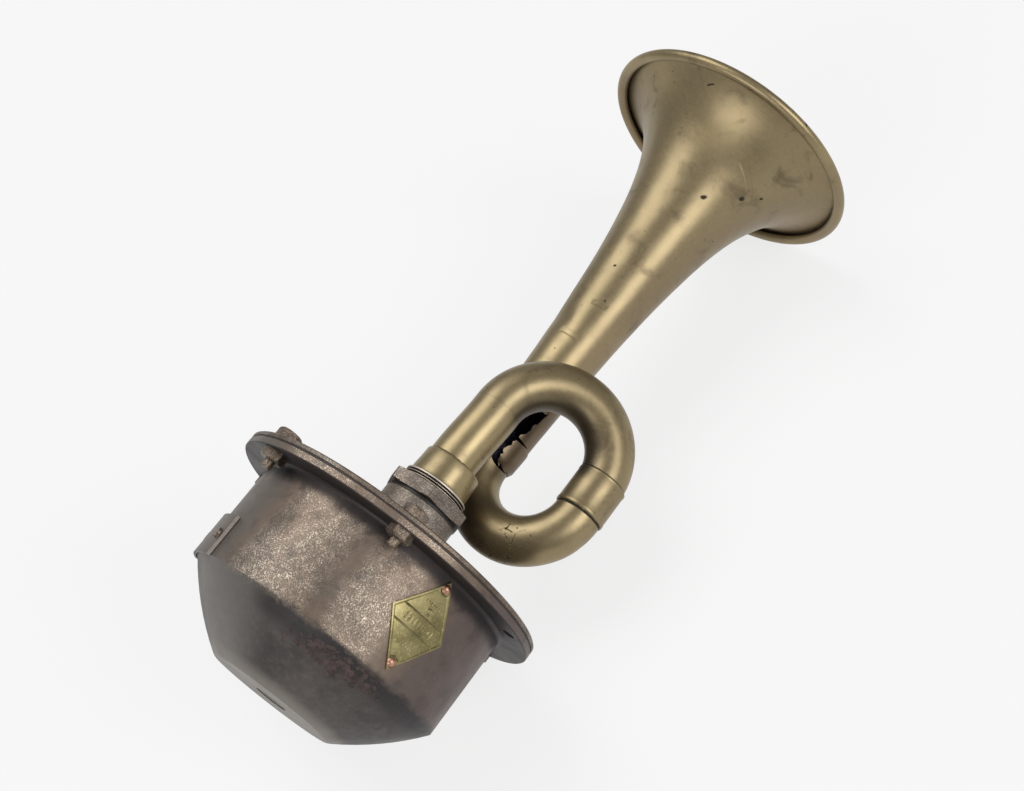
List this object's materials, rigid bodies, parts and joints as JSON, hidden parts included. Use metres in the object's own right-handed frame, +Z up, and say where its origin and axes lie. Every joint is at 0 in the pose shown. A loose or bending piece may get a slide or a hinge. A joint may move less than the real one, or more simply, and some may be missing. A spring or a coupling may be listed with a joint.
{
  "type": "horn loudspeaker",
  "caption": "Electromagnetic horn loudspeaker: an iron driver can with a clamped diaphragm drives a looped brass trumpet, which swivels in the can's boss and is held by a locknut.",
  "frame": {"origin": "centre of the box's floor face, with the loudspeaker lying on its flange and on the trumpet's rim", "axes": "+Z up from the floor, +X from the closed end of the driver can towards the trumpet's mouth, +Y across"},
  "size_m": [0.4797, 0.2032, 0.2032],
  "materials": {
    "painted_iron": "corroded casting",
    "machined_iron": "weathered, machined",
    "fastener_iron": "rusty",
    "aged_brass": "tarnished",
    "plate_brass": "tarnished",
    "copper": "dull copper",
    "steel": "bright",
    "red_magnet": "painted magnet steel",
    "fibre": "oiled gasket",
    "ebonite": "hard rubber",
    "soft_iron": "blackened"
  },
  "bodies": {
    "driver": {"housing_can": "painted_iron", "cover_plate": "machined_iron", "lower_gasket": "fibre", "upper_gasket": "fibre", "cover_bolts": "fastener_iron", "cover_nuts": "fastener_iron", "nameplate": "plate_brass", "nameplate_rivets": "copper", "terminal_cover": "painted_iron", "terminal_gasket": "fibre", "terminal_cover_screws": "fastener_iron", "terminal_block": "ebonite", "terminal_posts": "plate_brass", "terminal_nuts": "plate_brass", "cable_gland": "aged_brass", "gland_packing": "ebonite", "adjuster_bush": "plate_brass", "guide_posts": "steel", "carriage_springs": "steel", "lead_wires": "copper"},
    "carriage": {"carriage_plate": "soft_iron", "horseshoe_magnet": "red_magnet", "magnet_saddle": "plate_brass", "saddle_screws": "steel", "pole_pieces": "soft_iron", "coil_bobbins": "ebonite", "coil_windings": "copper"},
    "adjuster": {"adjusting_screw": "aged_brass", "screw_collar": "steel"},
    "diaphragm": {"diaphragm": "soft_iron", "armature_disc": "soft_iron", "armature_rivet": "copper"},
    "trumpet": {"threaded_nipple": "machined_iron", "ferrule": "aged_brass", "rising_tube": "aged_brass", "upper_bend": "aged_brass", "joint_sleeve": "aged_brass", "lower_bend": "aged_brass", "horn_socket": "aged_brass", "bell": "aged_brass", "rim_wire": "soft_iron"},
    "lock_washer": {"lock_washer": "ebonite"},
    "locknut": {"locknut": "machined_iron"}
  },
  "joints": [
    {"name": "trumpet_swivel", "type": "hinge", "parent": "driver", "child": "trumpet", "pos_m": [-0.10745, 0, 0.10321], "axis": [0.9977, 0, 0.0672], "range_deg": [-180, 180]},
    {"name": "locknut_lift", "type": "slide", "parent": "trumpet", "child": "lock_washer", "axis": [0.9977, 0, 0.0672], "range_m": [0, 0.001]},
    {"name": "locknut_turn", "type": "hinge", "parent": "lock_washer", "child": "locknut", "pos_m": [-0.09249, 0, 0.10421], "axis": [0.9977, 0, 0.0672], "range_deg": [0, 157]},
    {"name": "gap_adjust", "type": "slide", "parent": "driver", "child": "carriage", "axis": [0.9977, 0, 0.0672], "range_m": [-0.0005, 0.0005], "deforming": ["carriage_springs"]},
    {"name": "adjuster_turn", "type": "hinge", "parent": "driver", "child": "adjuster", "pos_m": [-0.22718, 0, 0.09514], "axis": [0.9977, 0, 0.0672], "range_deg": [-181, 181]},
    {"name": "diaphragm_beat", "type": "slide", "parent": "driver", "child": "diaphragm", "axis": [0.9977, 0, 0.0672], "range_m": [-0.0003, 0.0003], "stiffness_N_per_m": 8000, "deforming": ["diaphragm"]}
  ],
  "couplings": [
    {"joint": "locknut_turn", "follows": "locknut_lift", "rad_per_m": 2721.2},
    {"joint": "adjuster_turn", "follows": "gap_adjust", "rad_per_m": -6283.2}
  ]
}
